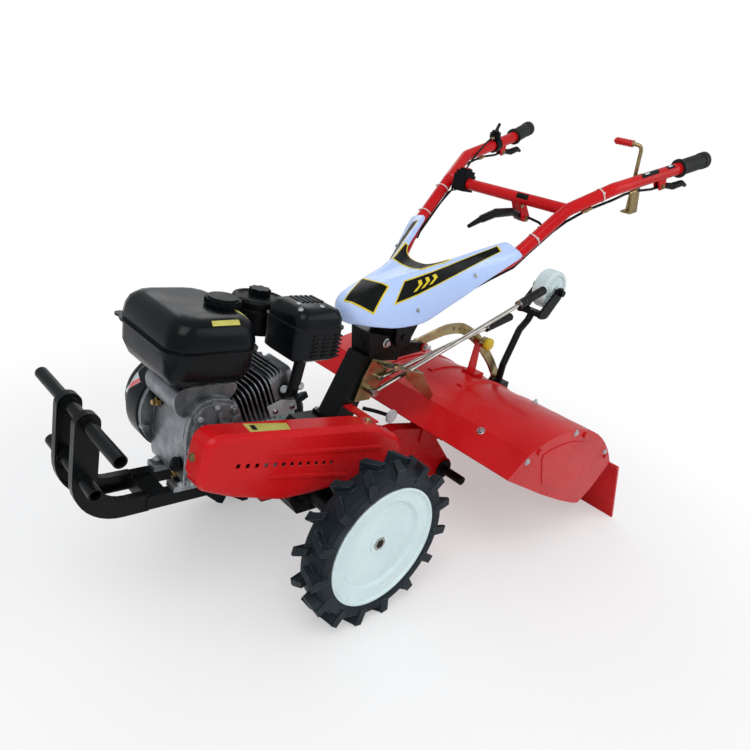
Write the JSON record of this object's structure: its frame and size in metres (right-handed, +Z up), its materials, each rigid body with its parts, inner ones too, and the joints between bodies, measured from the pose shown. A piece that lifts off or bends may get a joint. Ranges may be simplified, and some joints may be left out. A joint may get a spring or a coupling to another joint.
{
  "type": "motor tiller",
  "caption": "Two-wheel walking rotary tiller with a petrol engine ahead of the axle, belt cover, long split handlebar and a rear rotary hood; tines off.",
  "frame": {"origin": "centre of the base of the whole machine's box, on the floor it parks on", "axes": "+X forwards to the bumper, +Y to the operator's left, +Z up"},
  "size_m": [1.6086, 0.81, 1.1309],
  "materials": {
    "black_paint": "semi-gloss black paint on steel",
    "cast_aluminium": "bead-blasted cast aluminium",
    "black_enamel": "gloss black stoved enamel",
    "black_plastic": "moulded black plastic",
    "red_paint": "gloss red powder coat",
    "zinc_plate": "yellow passivated zinc plate",
    "nickel_plate": "bright nickel plate",
    "white_paint": "white enamel",
    "tyre_rubber": "matt black tyre rubber",
    "grip_rubber": "ribbed black rubber",
    "white_plastic": "pale violet-white gloss moulding"
  },
  "bodies": {
    "chassis": {"chassis_rails": "black_paint", "front_bumper": "black_paint", "engine_crankcase": "cast_aluminium", "engine_cylinder": "cast_aluminium", "recoil_housing": "black_enamel", "fuel_tank": "black_enamel", "fuel_cap": "black_plastic", "muffler": "black_enamel", "air_cleaner": "black_plastic", "belt_cover": "red_paint", "gearbox": "black_paint", "handle_column": "black_paint", "shift_gate": "zinc_plate", "shift_lever_long": "nickel_plate", "shift_lever_short": "nickel_plate", "tiller_case": "red_paint", "hood_shell": "red_paint", "hood_end_left": "red_paint", "hood_end_right": "red_paint", "gauge_arm": "black_paint", "depth_link": "zinc_plate", "link_bracket": "red_paint"},
    "wheel_left": {"rim_left": "white_paint", "tyre_left": "tyre_rubber", "axle_left": "nickel_plate"},
    "wheel_right": {"rim_right": "white_paint", "tyre_right": "tyre_rubber", "axle_right": "nickel_plate"},
    "rotor": {"rotor_shaft": "black_paint"},
    "flap": {"rear_flap": "red_paint"},
    "gauge": {"gauge_wheel": "white_paint"},
    "handlebar": {"handlebar_frame": "red_paint", "dash_cover": "white_plastic", "grip_left": "grip_rubber", "grip_right": "grip_rubber", "clutch_lever": "black_paint", "hand_lever_left": "black_plastic", "hand_lever_right": "black_plastic", "crank_handle": "zinc_plate", "stop_switch": "black_plastic", "handlebar_head": "black_paint", "throttle_lever": "black_plastic", "cable_left": "black_plastic", "cable_right": "black_plastic", "cable_clutch": "black_plastic"}
  },
  "joints": [
    {"name": "wheel_left_spin", "type": "hinge", "parent": "chassis", "child": "wheel_left", "pos_m": [0.22531, 0.275, 0.205], "axis": [0, 1, 0], "continuous": true},
    {"name": "wheel_right_spin", "type": "hinge", "parent": "chassis", "child": "wheel_right", "pos_m": [0.22531, -0.275, 0.205], "axis": [0, 1, 0], "continuous": true},
    {"name": "rotor_spin", "type": "hinge", "parent": "chassis", "child": "rotor", "pos_m": [-0.31499, 0, 0.10068], "axis": [0, 1, 0], "continuous": true},
    {"name": "gauge_wheel_spin", "type": "hinge", "parent": "chassis", "child": "gauge", "pos_m": [-0.69125, 0, 0.6518], "axis": [0, 1, 0], "continuous": true},
    {"name": "flap_hinge", "type": "hinge", "parent": "chassis", "child": "flap", "pos_m": [-0.66093, 0, 0.2248], "axis": [0, 1, 0], "range_deg": [0, 60]},
    {"name": "handlebar_tilt", "type": "hinge", "parent": "chassis", "child": "handlebar", "pos_m": [0.00035, 0, 0.58178], "axis": [0, 1, 0], "range_deg": [-8, 12]}
  ]
}
